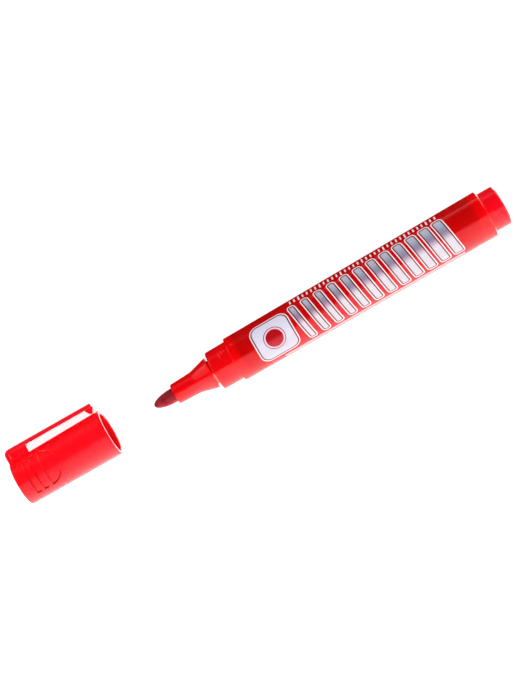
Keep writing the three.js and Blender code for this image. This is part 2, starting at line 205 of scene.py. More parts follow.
def rounded(corners):
    """Points of a closed outline from its corners (along, across, round), with an arc where a corner has a round."""
    points = []
    for i, corner in enumerate(corners):
        here = Vector(corner[:2])
        radius = corner[2] if len(corner) > 2 else 0
        if not radius:
            points.append(here)
            continue
        back = (Vector(corners[i - 1][:2]) - here).normalized()
        on = (Vector(corners[(i + 1) % len(corners)][:2]) - here).normalized()
        half = back.angle(on) / 2
        start = here + back * radius / math.tan(half)
        centre = here + (back + on).normalized() * radius / math.sin(half)
        turn = math.pi - 2 * half
        if back.x * on.y - back.y * on.x > 0:
            turn = -turn
        steps = max(2, math.ceil(abs(turn) / ARC_STEP))
        spoke = start - centre
        for k in range(steps + 1):
            angle = turn * k / steps
            c, s = math.cos(angle), math.sin(angle)
            points.append(centre + Vector((c * spoke.x - s * spoke.y, s * spoke.x + c * spoke.y)))
    return points


def piece(name, vertices, faces):
    """A mesh object from vertices in millimetres."""
    mesh = bpy.data.meshes.new(name)
    mesh.from_pydata([(x * MM, y * MM, z * MM) for x, y, z in vertices], [], faces)
    obj = bpy.data.objects.new(name, mesh)
    bpy.context.scene.collection.objects.link(obj)
    tidy_normals(obj)
    return obj


def tidy_normals(obj):
    """Welds doubles, turns the faces out and shades smooth but for sharp edges."""
    work = bmesh.new()
    work.from_mesh(obj.data)
    bmesh.ops.remove_doubles(work, verts=work.verts, dist=WELD)
    bmesh.ops.recalc_face_normals(work, faces=work.faces)
    work.to_mesh(obj.data)
    work.free()
    obj.data.shade_smooth()
    obj.data.set_sharp_from_angle(angle=SHARP)


def revolve(name, corners, angles=None, push=None):
    """Turns corners (along X, radius, round) about the X axis. push(x, radius, angle) may move a point outwards."""
    points = [(p.x, max(p.y, 0.0)) for p in rounded(corners)]
    angles = angles or [TURN * i / COLUMNS for i in range(COLUMNS)]
    count = len(angles)
    vertices, rings = [], []
    for x, radius in points:
        if radius < 1e-6:
            rings.append([len(vertices)] * count)
            vertices.append((x, 0, 0))
            continue
        rings.append(list(range(len(vertices), len(vertices) + count)))
        for angle in angles:
            r = radius + (push(x, radius, angle) if push else 0)
            vertices.append((x, -r * math.sin(angle), r * math.cos(angle)))
    faces = []
    for near, far in zip(rings, rings[1:] + rings[:1]):
        for j in range(count):
            k = (j + 1) % count
            face = list(dict.fromkeys((near[j], near[k], far[k], far[j])))
            if len(face) > 2:
                faces.append(face)
    return piece(name, vertices, faces)


def extrude(name, corners, width, edge):
    """Extrudes an outline in the XZ plane to a width centred on it, with its long edges rounded."""
    outline = rounded(corners)
    curve = bpy.data.curves.new(name, "CURVE")
    curve.dimensions = "2D"
    curve.fill_mode = "BOTH"
    spline = curve.splines.new("POLY")
    spline.points.add(len(outline) - 1)
    for point, at in zip(spline.points, outline):
        point.co = (at.x * MM, at.y * MM, 0, 1)
    spline.use_cyclic_u = True
    curve.extrude = (width / 2 - edge) * MM
    curve.bevel_depth = edge * MM
    curve.bevel_resolution = EDGE_STEPS
    curve.offset = -edge * MM
    source = bpy.data.objects.new(name + "_outline", curve)
    bpy.context.scene.collection.objects.link(source)
    mesh = bpy.data.meshes.new_from_object(source.evaluated_get(bpy.context.evaluated_depsgraph_get()))
    bpy.data.objects.remove(source)
    bpy.data.curves.remove(curve)
    mesh.transform(Matrix.Rotation(math.pi / 2, 4, "X"))
    obj = bpy.data.objects.new(name, mesh)
    bpy.context.scene.collection.objects.link(obj)
    tidy_normals(obj)
    return obj


def join_into(obj, others):
    """Unites closed meshes with obj and removes them."""
    for other in others:
        union = obj.modifiers.new("join", "BOOLEAN")
        union.operation = "UNION"
        union.solver = "EXACT"
        union.object = other
        apply_modifiers(obj)
        bpy.data.objects.remove(other)
    tidy_normals(obj)
    return obj


def apply_modifiers(obj):
    """Makes the modifiers' result the object's own mesh."""
    evaluated = obj.evaluated_get(bpy.context.evaluated_depsgraph_get())
    mesh = bpy.data.meshes.new_from_object(evaluated)
    obj.modifiers.clear()
    old = obj.data
    obj.data = mesh
    bpy.data.meshes.remove(old)


def even_shading(obj):
    """Lets large faces set the shading at their corners, so that flats stay flat beside rounded edges."""
    modifier = obj.modifiers.new("even_shading", "WEIGHTED_NORMAL")
    modifier.keep_sharp = True
    modifier.weight = FLAT_WEIGHT


def ribs(name, count, width, start, end, top, root):
    """Straight ribs along X, evenly round the axis."""
    made = []
    for i in range(count):
        turn = Matrix.Rotation(TURN * i / count, 4, "X")
        corners = [
            turn @ Vector((x, y, z))
            for x in (start, end)
            for y in (-width / 2, width / 2)
            for z in (top, root)
        ]
        sides = [(0, 1, 3, 2), (4, 6, 7, 5), (0, 4, 5, 1), (2, 3, 7, 6), (0, 2, 6, 4), (1, 5, 7, 3)]
        made.append(piece(f"{name}_{i}", corners, sides))
    return made


def barrel_radius(x):
    share = (x - BARREL_REAR) / (BARREL_FRONT - BARREL_REAR)
    return BARREL_REAR_R + (BARREL_FRONT_R - BARREL_REAR_R) * share


def make_barrel():
    rear, front = FILM_REAR - BAND_CLEARANCE, FILM_FRONT + BAND_CLEARANCE
    obj = revolve("barrel_tube", [
        (BARREL_REAR, BARREL_BORE_R),
        (BARREL_REAR, BARREL_REAR_R, BARREL_REAR_ROUND),
        (rear, barrel_radius(rear)),
        (rear, barrel_radius(rear) - BAND_DEPTH),
        (front, barrel_radius(front) - BAND_DEPTH),
        (front, barrel_radius(front)),
        (BARREL_FRONT, BARREL_FRONT_R, BARREL_FRONT_ROUND),
        (BARREL_FRONT, BARREL_BORE_R),
    ])
    start, end = PLUG_SPIGOT_END + BARREL_RIB_GAP, SPIGOT_REAR - BARREL_RIB_GAP
    root = (BARREL_BORE_R + BARREL_FRONT_R - BAND_DEPTH) / 2
    return join_into(obj, ribs("rib", BARREL_RIBS, BARREL_RIB_WIDTH, start, end, BARREL_RIB_TOP, root))


def make_film():
    def face(x):
        return barrel_radius(x) - FILM_SINK

    return revolve("printed_film", [
        (FILM_REAR, face(FILM_REAR) - FILM_THICKNESS),
        (FILM_REAR, face(FILM_REAR)),
        (FILM_FRONT, face(FILM_FRONT)),
        (FILM_FRONT, face(FILM_FRONT) - FILM_THICKNESS),
    ])


def make_plug():
    hollow = SPIGOT_R - PLUG_WALL
    return revolve("end_plug", [
        (PLUG_REAR, 0),
        (PLUG_REAR, PLUG_R, PLUG_RIM_ROUND),
        (BARREL_REAR, PLUG_R),
        (BARREL_REAR, SPIGOT_R),
        (PLUG_SPIGOT_END, SPIGOT_R, PLUG_WALL / 3),
        (PLUG_SPIGOT_END, hollow),
        (PLUG_FLOOR, hollow, PLUG_WALL / 3),
        (PLUG_FLOOR, 0),
    ])


def make_nozzle():
    collar_front = BARREL_FRONT + COLLAR_LENGTH
    cone_base = collar_front + NECK_WIDTH
    hollow_front = collar_front - COLLAR_WALL
    return revolve("nozzle_front", [
        (SPIGOT_REAR, NOZZLE_HOLLOW_R),
        (SPIGOT_REAR, SPIGOT_R, SPIGOT_ROUND),
        (BARREL_FRONT, SPIGOT_R),
        (BARREL_FRONT, COLLAR_R),
        (collar_front, COLLAR_FRONT_R, COLLAR_ROUND),
        (collar_front, NECK_R, CONE_EDGE_ROUND),
        (cone_base, NECK_R, CONE_EDGE_ROUND),
        (cone_base, CONE_BASE_R, CONE_EDGE_ROUND),
        (cone_base + CONE_LENGTH, NOSE_ROOT_R, CONE_NOSE_ROUND),
        (NOSE_FRONT, NOSE_R, NOSE_EDGE_ROUND),
        (NOSE_FRONT, NIB_SEAT_R, CONE_EDGE_ROUND),
        (NOSE_FRONT - NOSE_LIP, NIB_SEAT_R),
        (NOSE_FRONT - NOSE_LIP, NIB_BORE_R),
        (hollow_front, NIB_BORE_R),
        (hollow_front, NOZZLE_HOLLOW_R),
    ])


def make_nib():
    """The bullet point, with fine fibres and pores pressed into its surface."""
    shoulder = NIB_POINT - NIB_POINT_LENGTH
    point = [
        (
            shoulder + NIB_POINT_LENGTH * math.sin(math.pi / 2 * i / NIB_POINT_RINGS),
            NIB_R * math.cos(math.pi / 2 * i / NIB_POINT_RINGS),
        )
        for i in range(NIB_POINT_RINGS + 1)
    ]
    rod = [(NIB_REAR + (shoulder - NIB_REAR) * i / NIB_ROD_RINGS, NIB_R) for i in range(NIB_ROD_RINGS)]

    def felt(x, radius, angle):
        at = Vector((x * FELT_ALONG, radius * math.cos(angle) * FELT_ROUND, radius * math.sin(angle) * FELT_ROUND))
        grain = noise.fractal(at * FELT_SCALE, 1.0, 2.0, 4)
        return -FELT_DEPTH * abs(grain) * min(1.0, radius)

    return revolve("nib_fibre_tip", [(NIB_REAR, 0), *rod, *point], push=felt)


def make_seal():
    seal = revolve("inner_seal_cup", [
        (SEAL_LIP, SEAL_LIP_R, SEAL_LIP_ROUND),
        (SEAL_LIP, SEAL_R, SEAL_ROUND),
        (SEAL_END, SEAL_R, SEAL_ROUND),
        (SEAL_END, 0),
        (SEAL_END - SEAL_WALL, 0),
        (SEAL_END - SEAL_WALL, SEAL_LIP_R - SEAL_DRAFT, SEAL_ROUND),
    ])
    seal.data.transform(Matrix.Translation((CAP_MOUTH * MM, 0, 0)))
    return seal


def cap_radius(x):
    return CAP_MOUTH_R + (CAP_END_R - CAP_MOUTH_R) * x / CAP_LENGTH


def clip_height(x):
    share = (x - CLIP_SETBACK) / (CAP_LENGTH - CLIP_SETBACK)
    return CLIP_TIP_HEIGHT + (CLIP_END_HEIGHT - CLIP_TIP_HEIGHT) * share


def ramp(distance, run):
    """0 outside, 1 inside, with a smooth step of that run centred on the edge."""
    share = min(1.0, max(0.0, distance / run + 0.5))
    return share * share * (3 - 2 * share)


def thumb_rest_depth(x, across):
    """Depth of a thumb rest at x from the mouth, across measured square to the clip."""
    half_round = math.hypot((THUMB_EDGE - x) / THUMB_LENGTH, across / THUMB_HALF_HEIGHT)
    inside = min(THUMB_EDGE - x, (1 - half_round) * THUMB_LENGTH)
    for start, end in GROOVES:
        inside = max(inside, min(x - start, end - x, THUMB_HALF_HEIGHT - abs(across)))
    return THUMB_DEPTH * ramp(inside, THUMB_WALL)


def cap_angles():
    """Columns round the cap: fine on both sides at the thumb rests, coarser elsewhere. Angle 0 is the clip's side."""
    half = math.asin(THUMB_HALF_HEIGHT / CAP_END_R) + math.radians(4)
    fine = FINE_STEP / CAP_MOUTH_R
    angles, at = [], 0.0
    while at < TURN - 1e-6:
        angles.append(at)
        off_side = abs((at % math.pi) - math.pi / 2)
        at += fine if off_side < half else TURN / COLUMNS
    return angles


def make_cap_cup():
    """The cap's cup, its side drawn row by row round the thumb rests."""
    first = THUMB_EDGE - THUMB_LENGTH - FINE_MARGIN
    last = GROOVES[-1][1] + FINE_MARGIN
    steps = round((last - first) / FINE_STEP)
    rows = [*COARSE_ROWS, *(first + (last - first) * i / steps for i in range(steps + 1)), LAST_ROW]

    def rest(x, radius, angle):
        if radius < cap_radius(x) - 0.02 or not first <= x <= last:
            return 0
        return -thumb_rest_depth(x, radius * math.cos(angle))

    return revolve("cap_with_clip", [
        (0, CAP_BORE_R + CAP_LEAD_IN),
        (0, CAP_MOUTH_R, CAP_MOUTH_ROUND),
        *[(x, cap_radius(x)) for x in rows],
        (CAP_LENGTH, CAP_END_R, CAP_END_ROUND),
        (CAP_LENGTH, 0),
        (CAP_LENGTH - CAP_END_WALL, 0),
        (CAP_LENGTH - CAP_END_WALL, CAP_SEAL_BORE_R),
        (CAP_BORE_DEPTH, CAP_SEAL_BORE_R),
        (CAP_BORE_DEPTH, CAP_BORE_R),
        (CAP_LEAD_IN, CAP_BORE_R),
    ], angles=cap_angles(), push=rest)


def clip_pieces():
    """The clip's strip, the web at its root and the bump under its tip, still upright."""
    root = (CAP_SEAL_BORE_R + CAP_END_R) / 2
    inner_end = CAP_LENGTH - CLIP_THICKNESS
    strip = extrude("clip_strip", [
        (CLIP_SETBACK, clip_height(CLIP_SETBACK) - CLIP_THICKNESS, CLIP_TIP_ROUND),
        (inner_end, clip_height(inner_end) - CLIP_THICKNESS, CLIP_INNER_ROUND),
        (inner_end, root),
        (CAP_LENGTH, root),
        (CAP_LENGTH, CLIP_END_HEIGHT, CLIP_CORNER_ROUND),
        (CLIP_SETBACK, CLIP_TIP_HEIGHT, CLIP_TIP_ROUND),
    ], CLIP_WIDTH, CLIP_EDGE_ROUND)
    web_front = CAP_LENGTH - WEB_LENGTH
    web_rear = inner_end + CLIP_THICKNESS / 2
    web_top = clip_height(web_front) - CLIP_THICKNESS / 2
    web = extrude("clip_web", [
        (web_front, root),
        (web_rear, root),
        (web_rear, web_top),
        (web_front, web_top),
    ], WEB_WIDTH, WEB_EDGE_ROUND)
    under = clip_height(BUMP_CENTRE) - CLIP_THICKNESS
    tip = cap_radius(BUMP_CENTRE) + BUMP_GAP
    bump = extrude("clip_bump", [
        (BUMP_CENTRE - BUMP_LENGTH / 2, under + CLIP_THICKNESS / 2),
        (BUMP_CENTRE - BUMP_LENGTH / 2, under - BUMP_SHOULDER, BUMP_ROUND),
        (BUMP_CENTRE - BUMP_TIP_LENGTH / 2, tip, BUMP_ROUND),
        (BUMP_CENTRE + BUMP_TIP_LENGTH / 2, tip, BUMP_ROUND),
        (BUMP_CENTRE + BUMP_LENGTH / 2, under - BUMP_SHOULDER, BUMP_ROUND),
        (BUMP_CENTRE + BUMP_LENGTH / 2, under + CLIP_THICKNESS / 2),
    ], WEB_WIDTH, WEB_EDGE_ROUND)
    return [strip, web, bump]


def make_cap():
    cap = join_into(make_cap_cup(), clip_pieces())
    cap.data.transform(Matrix.Translation((CAP_MOUTH * MM, 0, 0)) @ Matrix.Rotation(CAP_ROLL, 4, "X"))
    return cap


# Node graphs

class Graph:
    """Short names for the nodes of one tree."""

    def __init__(self, tree):
        self.tree = tree
        tree.nodes.clear()

    def node(self, kind, inputs=None, **settings):
        made = self.tree.nodes.new(kind)
        for key, value in settings.items():
            setattr(made, key, value)
        for key, value in (inputs or {}).items():
            self.feed(made.inputs[key], value)
        return made

    def feed(self, socket, value):
        if isinstance(value, bpy.types.NodeSocket):
            self.tree.links.new(value, socket)
        else:
            socket.default_value = value

    def math(self, operation, *values):
        return self.node("ShaderNodeMath", dict(enumerate(values)), operation=operation).outputs[0]

    def length(self, a, b):
        """Length of the vector (a, b)."""
        squares = self.math("ADD", self.math("POWER", a, 2.0), self.math("POWER", b, 2.0))
        return self.math("SQRT", squares)

    def highest(self, *values):
        result = values[0]
        for value in values[1:]:
            result = self.math("MAXIMUM", result, value)
        return result

    def dot(self, vector, direction):
        made = self.node("ShaderNodeVectorMath", {0: vector, 1: tuple(direction)}, operation="DOT_PRODUCT")
        return made.outputs["Value"]

    def turn(self, vector):
        """Angle round the axis, from the camera's side towards the side away from the clip."""
        return self.math("ARCTAN2", self.dot(vector, AWAY), self.dot(vector, TO_CAMERA))

    def smooth(self, value, low, high, out_low=0.0, out_high=1.0):
        made = self.node(
            "ShaderNodeMapRange",
            {0: value, 1: low, 2: high, 3: out_low, 4: out_high},
            interpolation_type="SMOOTHSTEP",
        )
        return made.outputs[0]

    def curve(self, value, points):
        """A value read off straight lines between points."""
        result = points[0][1]
        for (start, low), (end, high) in zip(points, points[1:]):
            step = self.node("ShaderNodeMapRange", {0: value, 1: start, 2: end, 3: 0.0, 4: high - low})
            result = self.math("ADD", step.outputs[0], result)
        return result

    def mix(self, share, first, second):
        made = self.node("ShaderNodeMix", data_type="RGBA")
        for key, value in ((0, share), (6, first), (7, second)):
            self.feed(made.inputs[key], value)
        return made.outputs[2]

    def noise(self, vector, scale, detail=3.0, rough=0.5):
        made = self.node("ShaderNodeTexNoise", {"Vector": vector, "Scale": scale, "Detail": detail, "Roughness": rough})
        return made.outputs[0]


# Shapes drawn with nodes, from signed distances in millimetres that are negative inside

SOFT_EDGE = 0.03


def filled(graph, distance):
    return graph.smooth(distance, -SOFT_EDGE, SOFT_EDGE, 1.0, 0.0)


def line(graph, distance, offset, width):
    """A line of that width whose inner edge lies offset outside the shape."""
    off = graph.math("ABSOLUTE", graph.math("SUBTRACT", distance, offset + width / 2))
    return filled(graph, graph.math("SUBTRACT", off, width / 2))


def within(graph, value, low, high):
    off = graph.math("ABSOLUTE", graph.math("SUBTRACT", value, (low + high) / 2))
    return filled(graph, graph.math("SUBTRACT", off, (high - low) / 2))


def rounded_box(graph, along, across, half_along, half_across, radius):
    """Distance to a rounded rectangle about the origin."""
    a = graph.math("SUBTRACT", graph.math("ABSOLUTE", along), graph.math("SUBTRACT", half_along, radius))
    b = graph.math("SUBTRACT", graph.math("ABSOLUTE", across), half_across - radius)
    outside = graph.length(graph.math("MAXIMUM", a, 0.0), graph.math("MAXIMUM", b, 0.0))
    inside = graph.math("MINIMUM", graph.math("MAXIMUM", a, b), 0.0)
    return graph.math("SUBTRACT", graph.math("ADD", outside, inside), radius)


def from_plug(graph, at):
    """Distance along the axis from the plug's end, in millimetres."""
    return graph.math("DIVIDE", graph.node("ShaderNodeSeparateXYZ", {0: at}).outputs[0], MM)


def places(graph, at, radius):
    """Distance along the axis, and across it on a side of that radius from the camera's side, in millimetres."""
    return from_plug(graph, at), graph.math("MULTIPLY", graph.turn(at), radius)


GLINT_CORE = 0.55  # share of a painted glint that is full


def glint_stroke(graph, x, across, centre, half, slant=0.0):
    """A soft short stroke of painted highlight, from its centre and half sizes along and across."""
    along = graph.math("SUBTRACT", x, centre[0])
    side = graph.math("SUBTRACT", across, centre[1])
    along = graph.math("ADD", along, graph.math("MULTIPLY", side, slant))
    reach = graph.length(graph.math("DIVIDE", along, half[0]), graph.math("DIVIDE", side, half[1]))
    return graph.smooth(reach, GLINT_CORE, 1.0, 1.0, 0.0)


# Finishes

def shade(graph, base, roughness, bump=None, **constants):
    """Ends a material's graph: base, roughness and height go to one shader, and constants to its own sockets."""
    shader = graph.node("ShaderNodeBsdfPrincipled", {"Base Color": base, "Roughness": roughness})
    for key, value in constants.items():
        graph.feed(shader.inputs[key.replace("_", " ")], value)
    if bump:
        height, distance, strength = bump
        made = graph.node("ShaderNodeBump", {"Height": height, "Distance": distance, "Strength": strength})
        graph.feed(shader.inputs["Normal"], made.outputs[0])
    out = graph.node("ShaderNodeOutputMaterial")
    graph.feed(out.inputs["Surface"], shader.outputs[0])


def material(name):
    made = bpy.data.materials.new(name)
    made.use_nodes = True
    graph = Graph(made.node_tree)
    return made, graph, graph.node("ShaderNodeTexCoord").outputs["Object"]


RED_GLOSS = (0.42, 0.2, 0.215, 1)  # reflections sink into the saturated plastic and come back red
NO_GLOSS = (0.0, 0.0, 0.0, 1)
GLOSS_LEVEL = 0.25
SATIN_LEVEL = 0.33
PLUG_LEVEL = 0.26
BARREL_RED = (0.76, 0.0004, 0.0015, 1)


def moulded_plastic(name, marks, light, deep, rough, level=GLOSS_LEVEL):
    """Satin moulded plastic: faint flow marks in the colour, a fine skin texture and patches of lower gloss.

    marks(graph, at, tone) adds the marks, painted highlights and painted shade of one piece to the colour, and may give
    the share that has lost its gloss.
    """
    made, graph, at = material(name)
    flow = graph.noise(at, scale=90, detail=4)
    tone = graph.mix(graph.smooth(flow, 0.35, 0.7), light, deep)
    tone, matt = marks(graph, at, tone)
    gloss = graph.mix(matt, RED_GLOSS, NO_GLOSS) if matt else RED_GLOSS
    patches = graph.noise(at, scale=260, detail=3, rough=0.6)
    skin = graph.noise(at, scale=2600, detail=3, rough=0.55)
    roughness = graph.smooth(patches, 0.3, 0.75, *rough)
    shade(graph, tone, roughness, (skin, 0.00001, 0.25), Specular_Tint=gloss, Specular_IOR_Level=level)
    return made


SHADED_SIDE = (-1.5 * MM, 0.2 * MM)  # across the nib: painted shade on the clip's side
SHADED_SHARE = 0.45


def fibre(name, light, dark, along):
    """Bonded fibre: streaks along the axis, pores, blotches where the ink has dried, and painted shade on the clip's
    side.
    """
    made, graph, at = material(name)
    stretch = graph.node("ShaderNodeMapping", {"Vector": at, "Scale": (along, 1.0, 1.0)}).outputs[0]
    streak = graph.noise(stretch, scale=2400, detail=4, rough=0.65)
    blotch = graph.noise(at, scale=620, detail=4, rough=0.6)
    tone = graph.mix(graph.smooth(streak, 0.3, 0.7), dark, light)
    tone = graph.mix(graph.smooth(blotch, 0.42, 0.66, 0.0, 0.55), tone, dark)
    # painted shade: darker towards the clip's side
    tone = graph.mix(graph.smooth(graph.dot(at, AWAY), *SHADED_SIDE, SHADED_SHARE, 0.0), tone, dark)
    height = graph.math("ADD", streak, graph.math("MULTIPLY", blotch, 0.6))
    roughness = graph.smooth(blotch, 0.3, 0.7, 0.5, 0.75)
    shade(
        graph, tone, roughness, (height, 0.00006, 0.6), Specular_Tint=RED_GLOSS, Specular_IOR_Level=GLOSS_LEVEL
    )
    return made


# Marks, painted highlights and painted shade on the pieces: places along X and across the side, in millimetres
# pale red of the painted highlights, and of the pin ring
PALE_RED = (0.95, 0.022, 0.03, 1)
FILM_FADE = 1.1  # reach of the film's red over the barrel's bare ends, and of the barrel's over the film
FILM_RED = (0.52, 0.0003, 0.001, 1)
# painted highlight on the barrel's front, where the strip light's reflection falls
FRONT_GLINT = (BARREL_FRONT - 2.0, -5.2)
FRONT_GLINT_HALF = (0.6, 0.45)
FRONT_GLINT_SLANT = 1.1
GLINT_STROKES = ((3.4, -5.6, -2.4), (2.4, -5.6, -3.8), (1.4, -5.1, -4.3))  # painted highlights: ahead of the barrel, from, to
GLINT_HALF_WIDTH = 0.25
GLINT_REACH = 0.6  # half length, as a share of the stroke
COLLAR_FRONT = BARREL_FRONT + COLLAR_LENGTH
LIP_WIDTH = 0.35
LIP_END = (-5.0, -3.5)
# painted shade on the collar's front lip, on the clip's side
LIP_SHADE = (0.22, 0.0005, 0.012, 1)
NECK_MARGINS = (0.1, 0.05)
NECK_LIT = (0.3, 2.0)
# painted light: pale on the lit side of the neck groove
NECK_PAINTED_LIGHT = (0.95, 0.25, 0.21, 1)
# painted shade on the plug beside the barrel
PLUG_SHADE = (0.7, 0.0004, 0.005, 1)
PLUG_SHADE_RUN = 3.5
PLUG_SHADE_SHARE = 0.5
PIN_RING = (3.9, 1.66)
PIN_RING_R = 0.45
PIN_RING_LINE = (0.05, 0.2)
PIN_RING_SHARE = 0.7


def film_share(graph, x):
    """Share of the film's red, which fades into the bare ends."""
    inset = graph.math("MINIMUM", graph.math("SUBTRACT", x, FILM_REAR), graph.math("SUBTRACT", FILM_FRONT, x))
    return graph.smooth(inset, -FILM_FADE, FILM_FADE)


def barrel_marks(graph, at, tone):
    """The film's red beside the film, and a painted highlight on the barrel's front."""
    x, across = places(graph, at, BARREL_FRONT_R)
    tone = graph.mix(film_share(graph, x), tone, FILM_RED)
    return graph.mix(glint_stroke(graph, x, across, FRONT_GLINT, FRONT_GLINT_HALF, FRONT_GLINT_SLANT), tone, PALE_RED), None


def collar_marks(graph, at, tone):
    """Painted highlights in short strokes on the collar, painted shade on its lip, and painted light on the lit side of
    the neck.
    """
    x, across = places(graph, at, COLLAR_R)
    # painted highlights where the strip light catches the collar
    for ahead, start, end in GLINT_STROKES:
        half = (GLINT_HALF_WIDTH, (end - start) * GLINT_REACH)
        stroke = glint_stroke(graph, x, across, (BARREL_FRONT + ahead, (start + end) / 2), half)
        tone = graph.mix(stroke, tone, PALE_RED)
    # painted shade on the lip
    lip = graph.math(
        "MULTIPLY",
        within(graph, x, COLLAR_FRONT - LIP_WIDTH, COLLAR_FRONT),
        graph.smooth(across, *LIP_END, 1.0, 0.0),
    )
    tone = graph.mix(lip, tone, LIP_SHADE)
    # painted light in the neck groove, on the lit side only
    neck = within(graph, x, COLLAR_FRONT + NECK_MARGINS[0], COLLAR_FRONT + NECK_WIDTH + NECK_MARGINS[1])
    lit = graph.math("MULTIPLY", neck, graph.smooth(across, *NECK_LIT))
    return graph.mix(lit, tone, NECK_PAINTED_LIGHT), None


def plug_marks(graph, at, tone):
    """The ring left by the mould's pin, and painted shade beside the barrel."""
    x, across = places(graph, at, PLUG_R)
    near_barrel = graph.smooth(x, BARREL_REAR - PLUG_SHADE_RUN, BARREL_REAR, 0.0, PLUG_SHADE_SHARE)
    tone = graph.mix(near_barrel, tone, PLUG_SHADE)
    from_centre = graph.length(
        graph.math("SUBTRACT", x, PIN_RING[0]),
        graph.math("SUBTRACT", across, PIN_RING[1]),
    )
    off = graph.math("ABSOLUTE", graph.math("SUBTRACT", from_centre, PIN_RING_R))
    return graph.mix(graph.smooth(off, *PIN_RING_LINE, PIN_RING_SHARE, 0.0), tone, PALE_RED), None


# Painted shade and painted highlights on the cap: distances from the mouth, from the axis and from the walls of the
# thumb rests
# painted shade on the clip's strip
CLIP_SHADE_RED = (0.72, 0.007, 0.018, 1)
CLIP_SHADE_SOFT = 0.3
# painted highlight on the clip's end faces
CLIP_END_HIGHLIGHT = (0.92, 0.36, 0.39, 1)
CLIP_END_FACING = (-0.95, -0.8)
CLIP_END_FROM = (0.2, 0.4)  # outside the cup
# painted shade inside the bore
BORE_SHADE = (0.82, 0.005, 0.01, 1)
BORE_EDGE = (0.1, 0.2)
# painted shade on the mouth's outer edge, which also loses its gloss
MOUTH_SHADE = (0.62, 0.004, 0.008, 1)
MOUTH_RUN = (0.25, 0.5)
MOUTH_EDGE = (0.25, 0.15)
WALL_RED = (0.29, 0.0004, 0.001, 1)
SHADE_RISE = (-0.2, -0.08)
SHADE_RUN = (0.1, 0.85)
SHADE_MARGIN = 0.1
END_SHADE = 1.0
WALL_SHADE = 0.76
WALL_SHADE_FADE = (-2.0, 1.5)  # towards the clip
WALL_SHADE_LEAST = 0.28
ARC_SHADE_FADE = (-4.5, -1.0)


def rest_shade(graph, x, height):
    """Shade in the thumb rests along their walls that face the mouth, and deeper at their ends away from the clip.

    x runs from the mouth, and height along the clip's side.
    """
    def band(distance, strength):
        full, gone = SHADE_RUN
        rise = graph.smooth(distance, *SHADE_RISE)
        return graph.math("MULTIPLY", rise, graph.smooth(distance, full, gone, strength, 0.0))

    shades = []
    from_low_end = graph.math("ADD", height, THUMB_HALF_HEIGHT)
    for start, end in GROOVES:
        in_groove = within(graph, x, start, end + SHADE_MARGIN)
        shades.append(graph.math("MULTIPLY", band(from_low_end, END_SHADE), in_groove))
    in_height = within(graph, height, -THUMB_HALF_HEIGHT - SHADE_MARGIN, THUMB_HALF_HEIGHT)
    fade = graph.math("MULTIPLY", in_height, graph.smooth(height, *WALL_SHADE_FADE, 1.0, WALL_SHADE_LEAST))
    for wall in (THUMB_EDGE, *(end for _, end in GROOVES)):
        shades.append(graph.math("MULTIPLY", band(graph.math("SUBTRACT", wall, x), WALL_SHADE), fade))
    half_round = graph.length(
        graph.math("DIVIDE", graph.math("SUBTRACT", THUMB_EDGE, x), THUMB_LENGTH),
        graph.math("DIVIDE", height, THUMB_HALF_HEIGHT),
    )
    inside = graph.math("MULTIPLY_ADD", half_round, -THUMB_LENGTH, THUMB_LENGTH)
    low_side = graph.math(
        "MULTIPLY",
        graph.smooth(height, *ARC_SHADE_FADE, 1.0, 0.0),
        within(graph, x, THUMB_EDGE - THUMB_LENGTH, THUMB_EDGE),
    )
    shades.append(graph.math("MULTIPLY", band(inside, END_SHADE), low_side))
    return graph.highest(*shades)


def cap_marks(graph, at, tone):
    """Painted shade on the thin clip, in the bore and on the mouth's edge, painted highlights on the clip's ends, and
    painted shade in the thumb rests.
    """
    height = graph.math("DIVIDE", graph.dot(at, (0, -math.sin(CAP_ROLL), math.cos(CAP_ROLL))), MM)
    # painted shade on the clip's strip
    underside = CLIP_TIP_HEIGHT - CLIP_THICKNESS
    strip = graph.smooth(height, underside - CLIP_SHADE_SOFT, underside + CLIP_SHADE_SOFT)
    tone = graph.mix(strip, tone, CLIP_SHADE_RED)
    facing = graph.dot(graph.node("ShaderNodeTexCoord").outputs["Normal"], (1, 0, 0))
    # painted highlight on end faces that face the rear
    end_highlight = graph.math(
        "MULTIPLY",
        graph.smooth(facing, *CLIP_END_FACING, 1.0, 0.0),
        graph.smooth(height, *(CAP_MOUTH_R + out for out in CLIP_END_FROM)),
    )
    tone = graph.mix(end_highlight, tone, CLIP_END_HIGHLIGHT)
    in_section = graph.node("ShaderNodeVectorMath", {0: at, 1: (0, 1 / MM, 1 / MM)}, operation="MULTIPLY").outputs[0]
    radius = graph.node("ShaderNodeVectorMath", {0: in_section}, operation="LENGTH").outputs["Value"]
    # painted shade inside the bore
    outside = graph.smooth(radius, *(CAP_BORE_R + out for out in BORE_EDGE))
    tone = graph.mix(outside, BORE_SHADE, tone)
    from_mouth = graph.math("SUBTRACT", from_plug(graph, at), CAP_MOUTH)
    # painted shade on the mouth's outer edge
    mouth = graph.math(
        "MULTIPLY",
        graph.smooth(from_mouth, *MOUTH_RUN, 1.0, 0.0),
        graph.smooth(radius, *(CAP_MOUTH_R - inset for inset in MOUTH_EDGE)),
    )
    tone = graph.mix(mouth, tone, MOUTH_SHADE)
    in_rests = graph.math("MULTIPLY", rest_shade(graph, from_mouth, height), outside)
    return graph.mix(in_rests, tone, WALL_RED), graph.highest(in_rests, mouth)


